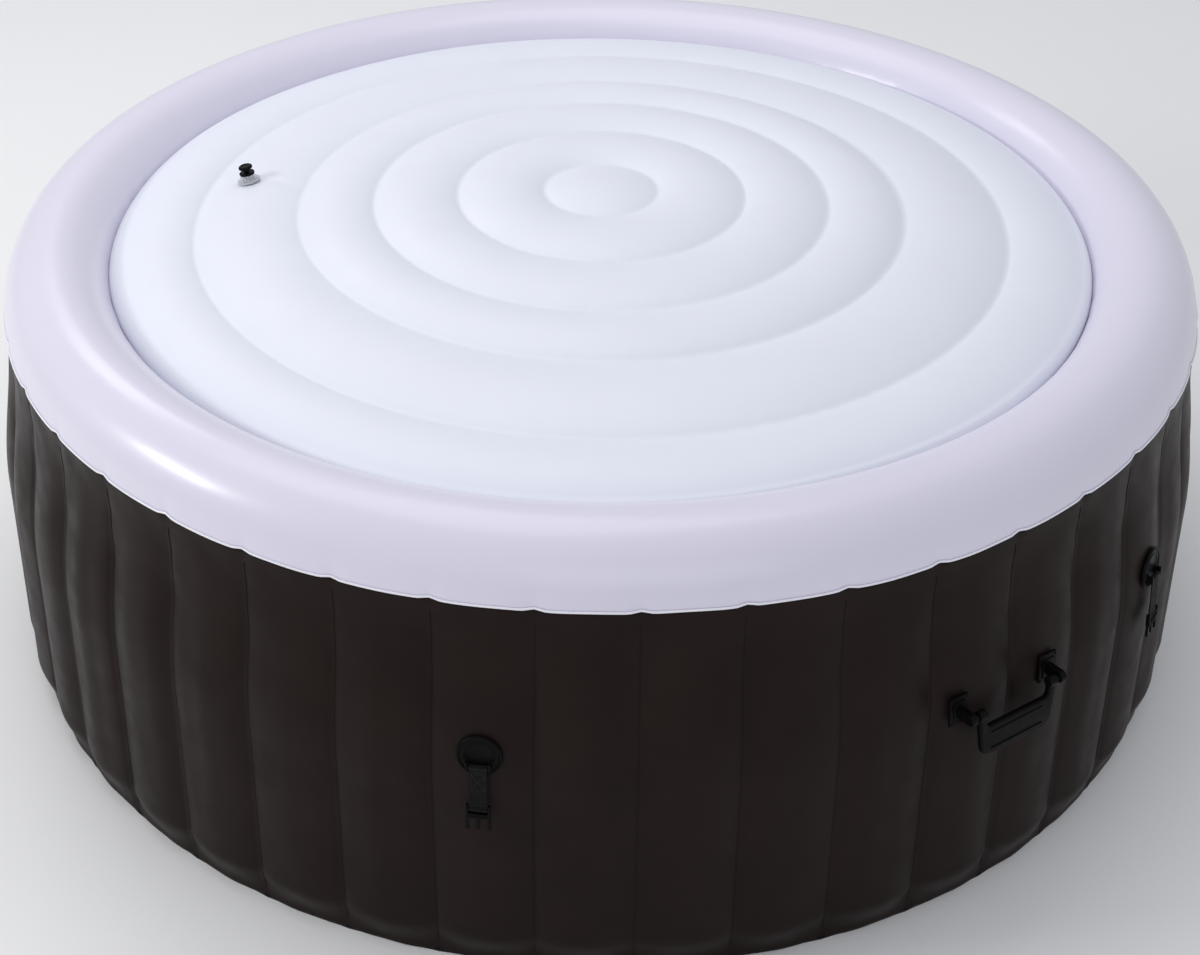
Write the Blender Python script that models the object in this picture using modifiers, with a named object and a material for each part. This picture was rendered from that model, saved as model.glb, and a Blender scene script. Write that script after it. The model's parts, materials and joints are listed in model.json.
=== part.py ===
"""Inflatable hot tub: a ribbed, air-filled wall with a soft top ring round a sealed basin, its water and air
fittings, carry handles and cover straps, and the inflated cover that lies inside the ring.
Metres, +Z up. The origin is on the ground at the tub's centre, and angles run anticlockwise from -Y."""

import math

import bmesh
import bpy
from mathutils import Matrix, Vector

# Driving dimensions
WALL_RADIUS = 0.900  # crest of the wall's channels where they are fattest
SEAM_RADIUS = 0.871  # where the black wall is welded to the top ring
SEAM_Z = 0.563
RING_HALF_WIDTH = 0.0768
RING_RISE = 0.087
RING_CENTRE = SEAM_RADIUS - RING_HALF_WIDTH
BASIN_RADIUS = 0.703
COVER_RADIUS = 0.7215
COVER_EDGE_Z = 0.6026
COVER_DOME = 0.067
SKIN = 0.0015
GAP = 0.0003

# The wall's channels
CHANNELS = 44
PITCH = math.tau / CHANNELS
FIRST_GROOVE = PITCH / 2
PUFF = 0.012  # how far a channel's crest stands proud of the grooves beside it

# Stations of the fittings, counted in channels from the first groove; the halves are crests
BUCKLE_STATIONS = (-1.5, 6.5, 20.5, 28.5)
HANDLE_STATIONS = (3.85, 25.85)
PORT_STATION = 21.5
AIR_VALVE_STATION = 19.5

# Heights of the fittings
BUCKLE_Z = 0.345
HANDLE_Z = 0.345
DRAIN_Z = 0.085
OUTLET_Z = 0.165
INLET_Z = 0.265
AIR_PORT_Z = 0.365
AIR_VALVE_Z = 0.400

# Cover valve, as a radius and an angle on the cover
COVER_VALVE_RADIUS = 0.537
COVER_VALVE_ANGLE = math.radians(-96.5)

# Groove circles of the cover, from the middle out
COVER_GROOVES = (0.0844, 0.2119, 0.3350, 0.4461, 0.5977)
COVER_ROLL = 0.010
COVER_UNDER_Z = 0.572

MATERIALS = {
    "wall_pvc": ((0.012, 0.011, 0.011), 0.42),
    "ring_pvc": ((0.72, 0.70, 0.80), 0.25),
    "liner_pvc": ((0.74, 0.73, 0.80), 0.35),
    "base_pvc": ((0.030, 0.030, 0.033), 0.60),
    "web_pvc": ((0.60, 0.61, 0.64), 0.50),
    "cover_pvc": ((0.76, 0.78, 0.86), 0.38),
    "moulded_black": ((0.010, 0.010, 0.011), 0.35),
    "webbing": ((0.022, 0.021, 0.021), 0.80),
    "clear_pvc": ((0.70, 0.73, 0.76), 0.15),
    "port_grey": ((0.33, 0.34, 0.37), 0.45),
    "seal_rubber": ((0.045, 0.045, 0.048), 0.70),
}


def clear_scene():
    for obj in list(bpy.data.objects):
        bpy.data.objects.remove(obj, do_unlink=True)


def new_collection(name, hidden=False):
    found = bpy.data.collections.new(name)
    bpy.context.scene.collection.children.link(found)
    found.hide_render = hidden
    return found


def new_material(name):
    colour, roughness = MATERIALS[name]
    made = bpy.data.materials.new(name)
    made.use_nodes = True
    shader = made.node_tree.nodes["Principled BSDF"]
    shader.inputs["Base Color"].default_value = (*colour, 1.0)
    shader.inputs["Roughness"].default_value = roughness
    shader.inputs["Metallic"].default_value = 0.0
    made.diffuse_color = (*colour, 1.0)
    return made


def material(name):
    return bpy.data.materials.get(name) or new_material(name)


def add_object(name, data, slot, parent=None, helper=False):
    """Links an object for the data, as a part of the tub or, with helper set, as a hidden cutter."""
    obj = bpy.data.objects.new(name, data)
    bpy.data.collections["cutters" if helper else "hot_tub"].objects.link(obj)
    obj.parent = parent
    if helper:
        obj.hide_render = True
        obj.display_type = "WIRE"
    else:
        data.materials.append(material(slot))
    return obj


def add_empty(name, parent=None, location=(0, 0, 0), rotation=(0, 0, 0)):
    empty = bpy.data.objects.new(name, None)
    bpy.data.collections["hot_tub"].objects.link(empty)
    empty.empty_display_size = 0.03
    empty.parent = parent
    empty.location = location
    empty.rotation_euler = rotation
    return empty


def turned(name, profile, slot, segments=20, parent=None, location=(0, 0, 0), helper=False, loop=True):
    """Turns (radius, z) points about Z. They run down the outer side; loop joins the last to the first."""
    mesh = bpy.data.meshes.new(name)
    count = len(profile)
    edges = [(i, i + 1) for i in range(count - 1)] + ([(count - 1, 0)] if loop else [])
    mesh.from_pydata([(r, 0, z) for r, z in profile], edges, [])
    obj = add_object(name, mesh, slot, parent, helper)
    obj.location = location
    screw = obj.modifiers.new("turn", "SCREW")
    screw.steps = segments
    screw.render_steps = segments
    screw.use_merge_vertices = True
    screw.merge_threshold = 0.00001
    return obj


def disc_profile(radius, low, high):
    return [(0, high), (radius, high), (radius, low), (0, low)]


def ring_profile(inner, outer, low, high):
    return [(outer, high), (outer, low), (inner, low), (inner, high)]


def disc(name, radius, low, high, slot, **kwargs):
    return turned(name, disc_profile(radius, low, high), slot, loop=False, **kwargs)


def box(name, low, high, slot, parent=None, helper=False):
    mesh = bpy.data.meshes.new(name)
    bm = bmesh.new()
    low, high = Vector(low), Vector(high)
    size = Matrix.Diagonal((*(high - low), 1))
    bmesh.ops.create_cube(bm, size=1, matrix=Matrix.Translation((low + high) / 2) @ size)
    bm.to_mesh(mesh)
    bm.free()
    return add_object(name, mesh, slot, parent, helper)


def boolean(obj, other, operation):
    modifier = obj.modifiers.new(operation.lower(), "BOOLEAN")
    modifier.operation = operation
    modifier.object = other
    modifier.solver = "EXACT"


def solidify(obj, thickness, offset=-1):
    modifier = obj.modifiers.new("skin", "SOLIDIFY")
    modifier.thickness = thickness
    modifier.offset = offset
    modifier.use_even_offset = True


def flat_shape(name, outlines, thickness, slot, parent, location=(0, 0, 0), rotation=(0, 0, 0)):
    """Extrudes flat closed outlines in their XY plane; an outline inside another is a hole."""
    curve = bpy.data.curves.new(name, "CURVE")
    curve.dimensions = "2D"
    curve.fill_mode = "BOTH"
    curve.extrude = thickness / 2
    for outline in outlines:
        spline = curve.splines.new("POLY")
        spline.points.add(len(outline) - 1)
        for point, (x, y) in zip(spline.points, outline):
            point.co = (x, y, 0, 1)
        spline.use_cyclic_u = True
    obj = add_object(name, curve, slot, parent)
    obj.location = location
    obj.rotation_euler = rotation
    return obj


def arc(centre, radius, start, end, steps):
    """Points on an arc in degrees, both ends included."""
    angles = [math.radians(start + (end - start) * i / steps) for i in range(steps + 1)]
    return [(centre[0] + radius * math.cos(a), centre[1] + radius * math.sin(a)) for a in angles]


def between(value, pairs):
    """Reads a smooth curve through (position, value) pairs."""
    for (x0, y0), (x1, y1) in zip(pairs, pairs[1:]):
        if value <= x1:
            share = (value - x0) / (x1 - x0)
            return y0 + (y1 - y0) * (1 - math.cos(math.pi * share)) / 2
    return pairs[-1][1]


def crest_radius(z):
    """The wall's outer radius on a channel's crest: tucked in at the foot, fattest low down."""
    foot, low, high = WALL_RADIUS - 0.020, WALL_RADIUS, WALL_RADIUS - 0.001
    return between(z, [(0, foot), (0.06, low), (0.30, high), (SEAM_Z, SEAM_RADIUS)])


def groove_radius(z):
    depth = between(z, [(0, PUFF * 0.5), (0.06, PUFF), (0.45, PUFF), (SEAM_Z, 0.001)])
    return crest_radius(z) - depth


def basin_radius(z):
    """The inner wall's radius, which widens at the top to meet the ring."""
    top = RING_CENTRE - RING_HALF_WIDTH
    return between(z, [(0, BASIN_RADIUS), (0.46, BASIN_RADIUS), (SEAM_Z, top)])


def wrapped_skin(name, columns, heights, radius_at, slot, inward=True):
    """A grid wrapped round Z at the radius that radius_at(angle, z) gives, with a skin laid inward or outward."""
    bm = bmesh.new()
    bmesh.ops.create_grid(bm, x_segments=columns, y_segments=len(heights) - 1, size=0.5)
    for vertex in bm.verts:
        z = heights[round((vertex.co.y + 0.5) * (len(heights) - 1))]
        angle = FIRST_GROOVE + math.tau * (vertex.co.x + 0.5)
        radius = radius_at(angle, z)
        vertex.co = (radius * math.sin(angle), -radius * math.cos(angle), z)
    bmesh.ops.remove_doubles(bm, verts=bm.verts, dist=0.00001)
    bmesh.ops.recalc_face_normals(bm, faces=bm.faces)
    mesh = bpy.data.meshes.new(name)
    bm.to_mesh(mesh)
    bm.free()
    obj = add_object(name, mesh, slot)
    solidify(obj, SKIN, -1 if inward else 1)
    return obj


def build_outer_wall():
    def radius_at(angle, z):
        on_crest = round((angle - FIRST_GROOVE) / (PITCH / 2)) % 2 == 1
        return crest_radius(z) if on_crest else groove_radius(z)

    heights = [SKIN + GAP, 0.06, 0.30, 0.45, SEAM_Z - GAP]
    return wrapped_skin("outer_wall", 2 * CHANNELS, heights, radius_at, "wall_pvc")


def build_inner_wall():
    heights = [SKIN + GAP, 0.46, 0.52, SEAM_Z - GAP]
    return wrapped_skin(
        "inner_wall", CHANNELS, heights, lambda angle, z: basin_radius(z), "liner_pvc", inward=False
    )


def build_top_ring():
    steps = 6
    points = []
    for i in range(steps + 1):
        turn = math.pi * (1 - i / steps)
        rise = SEAM_Z + GAP + (RING_RISE - GAP) * math.sin(turn)
        points.append((RING_CENTRE + RING_HALF_WIDTH * math.cos(turn), rise))
    ring = turned("top_ring", points, "ring_pvc", segments=CHANNELS, loop=False)
    ring.rotation_euler.z = FIRST_GROOVE - math.pi / 2
    solidify(ring, SKIN)


def build_sheets():
    base = disc("bottom_sheet", crest_radius(0) + 0.004, 0, SKIN, "base_pvc", segments=CHANNELS)
    floor_low = SKIN + 0.0015
    floor = disc(
        "basin_floor", BASIN_RADIUS - 0.006, floor_low, floor_low + 0.002, "liner_pvc", segments=CHANNELS
    )
    for sheet in (base, floor):
        sheet.rotation_euler.z = FIRST_GROOVE - math.pi / 2


def build_bubble_channel():
    """The welded strip across the basin's bottom corner that carries the air jets."""
    outer, inner = BASIN_RADIUS - 0.007, BASIN_RADIUS - 0.075
    low = SKIN + 0.0015 + 0.002 + GAP
    points = []
    steps = 2
    for i in range(steps + 1):
        turn = math.radians(90 * i / steps)
        points.append((outer + (inner - outer) * math.sin(turn), low + 0.062 * math.cos(turn)))
    strip = turned("bubble_channel", points[::-1], "liner_pvc", segments=CHANNELS, loop=False)
    strip.rotation_euler.z = FIRST_GROOVE - math.pi / 2
    solidify(strip, SKIN, 1)


def build_wall_baffles():
    """One web behind each groove, from the inner skin to the outer one, all on a ring welded to the base."""
    bm = bmesh.new()
    heights = (0.004, 0.45, SEAM_Z - 0.012)
    clearance = SKIN + 0.002
    for channel in range(CHANNELS):
        angle = FIRST_GROOVE + channel * PITCH
        sheet = bmesh.ops.create_grid(bm, x_segments=1, y_segments=2, size=0.5)["verts"]
        for vertex in sheet:
            z = heights[round((vertex.co.y + 0.5) * 2)]
            inner = basin_radius(z) + clearance
            outer = groove_radius(z) - clearance
            radius = inner + (outer - inner) * (vertex.co.x + 0.5)
            vertex.co = (radius * math.sin(angle), -radius * math.cos(angle), z)
    mesh = bpy.data.meshes.new("wall_baffles")
    bm.to_mesh(mesh)
    bm.free()
    webs = add_object("wall_baffles", mesh, "web_pvc")
    solidify(webs, 0.0012, 0)
    foot = turned(
        "baffle_foot",
        ring_profile(BASIN_RADIUS + 0.006, groove_radius(0) - 0.008, SKIN + GAP, 0.006),
        "web_pvc",
        segments=CHANNELS,
        helper=True,
    )
    foot.rotation_euler.z = FIRST_GROOVE - math.pi / 2
    boolean(webs, foot, "UNION")


def cover_height(radius):
    """The cover's top at a radius: a shallow dome with a soft roll between one groove circle and the next."""
    share = radius / COVER_RADIUS
    dome = COVER_EDGE_Z + COVER_DOME * (1 - share * share)
    edges = (-COVER_GROOVES[0], *COVER_GROOVES, COVER_RADIUS)
    for inner, outer in zip(edges, edges[1:]):
        if inner <= radius <= outer:
            across = (radius - inner) / (outer - inner)
            return dome + COVER_ROLL * 4 * across * (1 - across)
    return dome


def build_cover_bladder():
    edges = (*COVER_GROOVES, COVER_RADIUS)
    crests = [(a + b) / 2 for a, b in zip(edges, edges[1:])]
    radii = sorted([0, *COVER_GROOVES, *crests, COVER_VALVE_RADIUS])
    points = [(r, cover_height(r)) for r in radii]
    points += [(COVER_RADIUS - 0.010, COVER_EDGE_Z + 0.006), (COVER_RADIUS, COVER_EDGE_Z - 0.004)]
    points += [(COVER_RADIUS - 0.020, COVER_UNDER_Z + 0.008), (0.5, COVER_UNDER_Z), (0, COVER_UNDER_Z)]
    cover = turned("cover_bladder", points, "cover_pvc", segments=32, loop=False)
    cover.rotation_euler.z = COVER_VALVE_ANGLE - math.pi / 2
    solidify(cover, 0.001)
    axis = cover_valve_axis("cover_valve_hole_axis")
    hole = disc("cover_valve_hole", 0.0095, -0.02, 0.02, None, segments=12, parent=axis, helper=True)
    boolean(cover, hole, "DIFFERENCE")


def cover_valve_axis(name, above=0.0):
    """An empty on the cover where its valve sits, with Z square to the cover there."""
    reach = 0.02
    fall = cover_height(COVER_VALVE_RADIUS - reach) - cover_height(COVER_VALVE_RADIUS + reach)
    turn = Matrix.Rotation(COVER_VALVE_ANGLE, 4, "Z")
    facing = turn @ Matrix.Rotation(math.atan2(fall, 2 * reach), 4, "X")
    place = turn @ Vector((0, -COVER_VALVE_RADIUS, cover_height(COVER_VALVE_RADIUS)))
    return add_empty(name, location=place + facing.col[2].to_3d() * above, rotation=facing.to_euler())


def build_cover_webs():
    """The circular webs inside the cover that hold its top to its underside along each groove."""
    for number, radius in enumerate(COVER_GROOVES, start=1):
        low = COVER_UNDER_Z + 0.012
        high = cover_height(radius) - 0.014
        profile = ring_profile(radius - 0.0012, radius, low, high)
        turned(f"cover_web_{number}", profile, "web_pvc", segments=20)


def build_cover_valve():
    """A clear flange and neck, the black stopper in it, and the cap in the stopper."""
    base = cover_valve_axis("cover_valve_axis", above=0.0006)
    flange = [(0.0062, 0.0100), (0.0110, 0.0100), (0.0120, 0.0012), (0.0170, 0.0012), (0.0170, 0.0)]
    flange += [(0.0075, 0.0), (0.0075, -0.0080), (0.0062, -0.0080)]
    turned("cover_valve_flange", flange, "clear_pvc", 16, base)
    stopper = [(0.0032, 0.0135), (0.0115, 0.0135), (0.0115, 0.0105), (0.0056, 0.0105), (0.0054, 0.0010)]
    stopper += [(0.0032, 0.0010)]
    turned("cover_valve_stopper", stopper, "moulded_black", 16, base)
    cap = [(0, 0.0240), (0.0085, 0.0240), (0.0105, 0.0225), (0.0105, 0.0200), (0.0040, 0.0192)]
    cap += [(0.0040, 0.0140), (0.0027, 0.0138), (0.0027, 0.0060), (0, 0.0060)]
    turned("cover_valve_cap", cap, "moulded_black", 16, base, loop=False)


def station(name, channels_along, height, tilted=True):
    """An empty on a crest or groove of the wall: its X runs along the wall, Y up it and Z out of it."""
    angle = FIRST_GROOVE + channels_along * PITCH
    slope = math.atan2(crest_radius(height - 0.05) - crest_radius(height + 0.05), 0.1) if tilted else 0
    turn = Matrix.Rotation(angle, 4, "Z")
    place = turn @ Vector((0, -crest_radius(height), height))
    facing = turn @ Matrix.Rotation(math.pi / 2 - slope, 4, "X")
    return add_empty(name, location=place, rotation=facing.to_euler())


def cut_wall(obj, name, radius, channels_along, height, low, high):
    """Cuts a hole out along the radius, from low to high on it, through one skin of the wall."""
    hole = turned(name, disc_profile(radius, low, high), None, 16, loop=False, helper=True)
    angle = FIRST_GROOVE + channels_along * PITCH
    facing = Matrix.Rotation(angle, 4, "Z") @ Matrix.Rotation(math.pi / 2, 4, "X")
    hole.rotation_euler = facing.to_euler()
    hole.location = (0, 0, height)
    boolean(obj, hole, "DIFFERENCE")


# Strap that holds the insulated cover down: a patch with a bar, webbing round the bar, and a buckle plug
BAR_RADIUS = 0.0017
BAR_OUT = 0.0085
WEBBING_WIDTH = 0.022
WEBBING_THICK = 0.0014
STRAP_DROP = 0.062


def build_buckle_patch(name, base):
    """A round patch welded above the hinge, with two lugs and the bar that the webbing turns on."""
    above = (0, 0.012, 0)
    patch = disc(name, 0.029, 0.0006, 0.0026, "moulded_black", segments=16, parent=base, location=above)
    for side in (-1, 1):
        centre = side * (WEBBING_WIDTH / 2 + 0.0035)
        lug = box(
            f"{name}_lug",
            (centre - 0.0015, -0.0040, 0.0016),
            (centre + 0.0015, 0.0060, BAR_OUT + 0.0030),
            None,
            base,
            helper=True,
        )
        boolean(patch, lug, "UNION")
    bar = disc(f"{name}_bar", BAR_RADIUS, -0.015, 0.015, None, segments=8, parent=base, helper=True)
    bar.rotation_euler.y = math.pi / 2
    bar.location = (0, 0, BAR_OUT)
    boolean(patch, bar, "UNION")


def build_webbing(name, hinge):
    """The sewn webbing, from the side: an eye round the patch's bar, two plies, and an eye for the buckle."""
    inner = BAR_RADIUS + 0.0007
    outer = inner + WEBBING_THICK
    half = WEBBING_THICK
    angle = math.degrees(math.asin(half / outer))
    top = arc((0, 0), outer, -90 + angle, 270 - angle, 12)
    bottom = arc((0, -STRAP_DROP), outer, 90 + angle, 450 - angle, 12)
    holes = [arc((0, y), inner, 0, 324, 9) for y in (0, -STRAP_DROP)]
    outline = top + bottom
    return flat_shape(name, [outline, *holes], WEBBING_WIDTH, "webbing", hinge, rotation=(0, -math.pi / 2, 0))


def build_buckle_plug(name, hinge):
    """A side-release buckle's plug: a frame with a bar for the webbing, and three prongs."""
    half, bar_y = 0.0150, -STRAP_DROP
    frame_and_prongs = [
        ((-half, bar_y - 0.013, -0.0028), (half, bar_y - 0.006, 0.0028)),
        ((-half, bar_y - 0.0075, -0.0028), (-half + 0.0025, bar_y + 0.006, 0.0028)),
        ((half - 0.0025, bar_y - 0.0075, -0.0028), (half, bar_y + 0.006, 0.0028)),
        ((-half + 0.001, bar_y - 0.0012, -0.0012), (half - 0.001, bar_y + 0.0012, 0.0012)),
        ((-half, bar_y - 0.032, -0.0020), (-half + 0.0050, bar_y - 0.012, 0.0020)),
        ((half - 0.0050, bar_y - 0.032, -0.0020), (half, bar_y - 0.012, 0.0020)),
        ((-0.0022, bar_y - 0.030, -0.0016), (0.0022, bar_y - 0.012, 0.0016)),
    ]
    plug = box(name, *frame_and_prongs[0], "moulded_black", hinge)
    for low, high in frame_and_prongs[1:]:
        piece = box(f"{name}_piece", low, high, None, hinge, helper=True)
        boolean(plug, piece, "UNION")


def build_buckle(number, channels_along):
    """One strap on a crest: the patch is fixed, and the webbing and plug hang from the hinge."""
    base = station(f"buckle_station_{number}", channels_along, BUCKLE_Z)
    build_buckle_patch(f"buckle_patch_{number}", base)
    hinge = add_empty(f"buckle_hinge_{number}", base, (0, 0, BAR_OUT))
    build_webbing(f"buckle_webbing_{number}", hinge)
    build_buckle_plug(f"buckle_plug_{number}", hinge)


# Carry handle: a broad strap-like bail hung between two welded anchors
HANDLE_HALF = 0.066
HANDLE_DROP = 0.058
HANDLE_OUT = 0.0240
GRIP_RADIUS = 0.0065
GRIP_TOP = -0.020
GRIP_TAPER = 0.006
GRIP_THICK = 0.009
PIN_RADIUS = 0.0040


def build_handle_anchor(name, base, side):
    """A plate welded on the neighbouring crest, and an eye for the grip's end."""
    centre = side * (HANDLE_HALF + 0.010)
    low, high = (centre - 0.015, -0.020, -0.0030), (centre + 0.015, 0.022, 0.0015)
    plate = box(name, low, high, "moulded_black", base)
    low, high = (centre - 0.0045, -0.0075, 0.0005), (centre + 0.0045, 0.0075, HANDLE_OUT + 0.0075)
    eye = box(f"{name}_eye", low, high, None, base, helper=True)
    boolean(plate, eye, "UNION")
    bore = disc(f"{name}_bore", PIN_RADIUS + 0.0006, -0.02, 0.02, None, segments=12, parent=base, helper=True)
    bore.rotation_euler.y = math.pi / 2
    bore.location = (centre, 0, HANDLE_OUT)
    boolean(plate, bore, "DIFFERENCE")


def build_handle_grip(name, hinge):
    """A flat broad bail with eased lower corners, and a pin on each end that turns in an anchor's eye."""
    corner = 0.016
    leg = HANDLE_HALF - GRIP_RADIUS
    foot = leg + GRIP_RADIUS - GRIP_TAPER
    low = -HANDLE_DROP - GRIP_RADIUS
    right = [(leg - GRIP_RADIUS, GRIP_TOP), (leg - GRIP_RADIUS, 0), (leg + GRIP_RADIUS, 0)]
    right += arc((foot - corner, low + corner), corner, 0, -90, 4)
    outline = right + [(-x, y) for x, y in reversed(right)]
    flat = flat_shape(f"{name}_outline", [outline], GRIP_THICK, "moulded_black", None)
    bpy.context.view_layer.update()
    evaluated = flat.evaluated_get(bpy.context.evaluated_depsgraph_get())
    mesh = bpy.data.meshes.new_from_object(evaluated)
    mesh.materials.clear()
    bpy.data.objects.remove(flat)
    bm = bmesh.new()
    bm.from_mesh(mesh)
    bmesh.ops.remove_doubles(bm, verts=bm.verts, dist=0.00001)
    bm.to_mesh(mesh)
    bm.free()
    grip = add_object(name, mesh, "moulded_black", hinge)
    for side in (-1, 1):
        pin = disc(f"{name}_pin", PIN_RADIUS, -0.0105, 0.0105, None, segments=10, parent=hinge, helper=True)
        pin.rotation_euler.y = math.pi / 2
        pin.location = (side * (HANDLE_HALF + 0.0035), 0, 0)
        wide = GRIP_RADIUS + 0.0006
        collar = disc(f"{name}_end", wide, -0.0066, 0.0066, None, segments=10, parent=hinge, helper=True)
        collar.rotation_euler.y = math.pi / 2
        collar.location = (side * leg, 0, 0)
        boolean(grip, collar, "UNION")
        boolean(grip, pin, "UNION")


def build_handle(number, channels_along):
    """One carry handle across a groove: the anchors are fixed, and the grip hangs from the hinge."""
    base = station(f"handle_station_{number}", channels_along, HANDLE_Z)
    for side, tag in ((-1, "left"), (1, "right")):
        build_handle_anchor(f"handle_{number}_anchor_{tag}", base, side)
    hinge = add_empty(f"handle_hinge_{number}", base, (0, 0, HANDLE_OUT))
    build_handle_grip(f"handle_{number}_grip", hinge)


# Water ports for the pump
PIPE_RADIUS = 0.0190
PIPE_BORE = 0.0160
PORT_FLANGE = 0.0360


def build_water_port(tag, height):
    """A pipe through both skins with a flange on each, a slotted screen inside and a screw cap outside."""
    base = station(f"{tag}_port_station", PORT_STATION, height, tilted=False)
    inner_face = BASIN_RADIUS * math.cos(PITCH / 2) - crest_radius(height)
    port = [(PIPE_BORE, 0.0130), (PIPE_RADIUS + 0.0015, 0.0130), (PIPE_RADIUS + 0.0015, 0.0040)]
    port += [(PORT_FLANGE, 0.0035), (PORT_FLANGE, 0.0006), (PIPE_RADIUS, 0.0006)]
    port += [(PIPE_RADIUS, inner_face - 0.0006), (PORT_FLANGE, inner_face - 0.0006)]
    port += [(PORT_FLANGE, inner_face - 0.0040), (PIPE_BORE, inner_face - 0.0040)]
    turned(f"{tag}_port", port, "port_grey", 20, base)
    screen = disc(
        f"{tag}_screen", PORT_FLANGE - 0.004, inner_face - 0.0068, inner_face - 0.0044, "port_grey",
        segments=20, parent=base,
    )
    for row in range(-2, 3):
        slot = box(
            f"{tag}_screen_slot",
            (-0.012 + abs(row) * 0.002, row * 0.0050 - 0.0014, inner_face - 0.02),
            (0.012 - abs(row) * 0.002, row * 0.0050 + 0.0014, inner_face),
            None,
            base,
            helper=True,
        )
        boolean(screen, slot, "DIFFERENCE")
    build_screw_cap(tag + "_port", base, 0.0045, PIPE_RADIUS + 0.0015, 0.0132)


def build_screw_cap(tag, base, low, neck, top):
    """A seal round a neck and the cap that screws down on it; both turn about the base's Z."""
    seal_high = low + 0.0025
    seal = ring_profile(neck + 0.0008, neck + 0.0060, low, seal_high)
    turned(f"{tag}_seal", seal, "seal_rubber", 16, base)
    wall = neck + 0.0010
    cap = [(0, top + 0.0035), (wall + 0.0040, top + 0.0035), (wall + 0.0055, top + 0.0020)]
    cap += [(wall + 0.0055, seal_high + GAP), (wall, seal_high + GAP)]
    cap += [(wall, top + 0.0012), (0, top + 0.0012)]
    body = turned(f"{tag}_cap", cap, "moulded_black", 20, base, loop=False)
    low, high = (-wall * 0.8, -0.0020, top + 0.0028), (wall * 0.8, 0.0020, top + 0.0065)
    rib = box(f"{tag}_cap_rib", low, high, None, base, helper=True)
    boolean(body, rib, "UNION")


def build_air_port():
    """The blower's port: a flanged tube through the outer skin, shut by a push-in plug."""
    base = station("air_port_station", PORT_STATION, AIR_PORT_Z)
    port = [(0.0115, 0.0120), (0.0140, 0.0120), (0.0140, 0.0032), (0.0280, 0.0030), (0.0280, 0.0006)]
    port += [(0.0140, 0.0006), (0.0140, -0.0300), (0.0115, -0.0300)]
    turned("air_port", port, "port_grey", 16, base)
    plug = [(0, 0.0165), (0.0165, 0.0165), (0.0165, 0.0125), (0.0110, 0.0125), (0.0108, 0.0020)]
    plug += [(0, 0.0020)]
    turned("air_port_plug", plug, "moulded_black", 16, base, loop=False)


def build_air_valve():
    """The wall's inflation valve: a flanged cup with a web, a sprung stem through it, and a screw cap."""
    base = station("air_valve_station", AIR_VALVE_STATION, AIR_VALVE_Z)
    cup = [(0.0160, 0.0120), (0.0185, 0.0120), (0.0185, 0.0032), (0.0320, 0.0030), (0.0320, 0.0006)]
    cup += [(0.0190, 0.0006), (0.0190, -0.0220), (0.0034, -0.0220), (0.0034, -0.0195), (0.0160, -0.0195)]
    body = turned("air_valve_body", cup, "port_grey", 16, base)
    for quarter in range(4):
        vent = disc("air_valve_vent", 0.0032, -0.03, -0.01, None, segments=8, parent=base, helper=True)
        turn = math.radians(45 + 90 * quarter)
        vent.location = (0.0100 * math.cos(turn), 0.0100 * math.sin(turn), 0)
        boolean(body, vent, "DIFFERENCE")
    stem = [(0, 0.0040), (0.0060, 0.0040), (0.0060, 0.0015), (0.0028, 0.0010), (0.0028, -0.0226)]
    stem += [(0.0150, -0.0226), (0.0150, -0.0250), (0, -0.0250)]
    turned("air_valve_stem", stem, "moulded_black", 12, base, loop=False)
    build_screw_cap("air_valve", base, 0.0038, 0.0185, 0.0122)


def build_drain():
    """The drain: a flanged spigot through both skins near the floor, with a screw cap on its outer end."""
    base = station("drain_station", PORT_STATION, DRAIN_Z, tilted=False)
    inner_face = BASIN_RADIUS * math.cos(PITCH / 2) - crest_radius(DRAIN_Z)
    spigot = [(0.0080, 0.0130), (0.0120, 0.0130), (0.0120, 0.0034), (0.0260, 0.0032), (0.0260, 0.0006)]
    spigot += [(0.0110, 0.0006), (0.0110, inner_face - 0.0005), (0.0080, inner_face - 0.0005)]
    turned("drain_spigot", spigot, "port_grey", 16, base)
    build_screw_cap("drain", base, 0.0040, 0.0120, 0.0132)


def cut_openings(outer_wall, inner_wall):
    """The holes that the fittings pass through, a little wider than the fittings."""
    outer_skin, inner_skin = (0.80, 1.0), (0.68, 0.80)
    pipe = PIPE_RADIUS + 0.001
    through = [("drain", 0.0120, DRAIN_Z), ("outlet", pipe, OUTLET_Z), ("inlet", pipe, INLET_Z)]
    for tag, radius, height in through:
        cut_wall(outer_wall, f"{tag}_hole_outer", radius, PORT_STATION, height, *outer_skin)
        cut_wall(inner_wall, f"{tag}_hole_inner", radius, PORT_STATION, height, *inner_skin)
    cut_wall(outer_wall, "air_port_hole", 0.0175, PORT_STATION, AIR_PORT_Z, *outer_skin)
    cut_wall(outer_wall, "air_valve_hole", 0.0225, AIR_VALVE_STATION, AIR_VALVE_Z, *outer_skin)


def build():
    clear_scene()
    new_collection("hot_tub")
    new_collection("cutters", hidden=True)
    outer_wall = build_outer_wall()
    inner_wall = build_inner_wall()
    build_top_ring()
    build_sheets()
    build_bubble_channel()
    build_wall_baffles()
    build_cover_bladder()
    build_cover_webs()
    build_cover_valve()
    for number, along in enumerate(BUCKLE_STATIONS, start=1):
        build_buckle(number, along)
    for number, along in enumerate(HANDLE_STATIONS, start=1):
        build_handle(number, along)
    build_water_port("outlet", OUTLET_Z)
    build_water_port("inlet", INLET_Z)
    build_air_port()
    build_air_valve()
    build_drain()
    cut_openings(outer_wall, inner_wall)


build()
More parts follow.
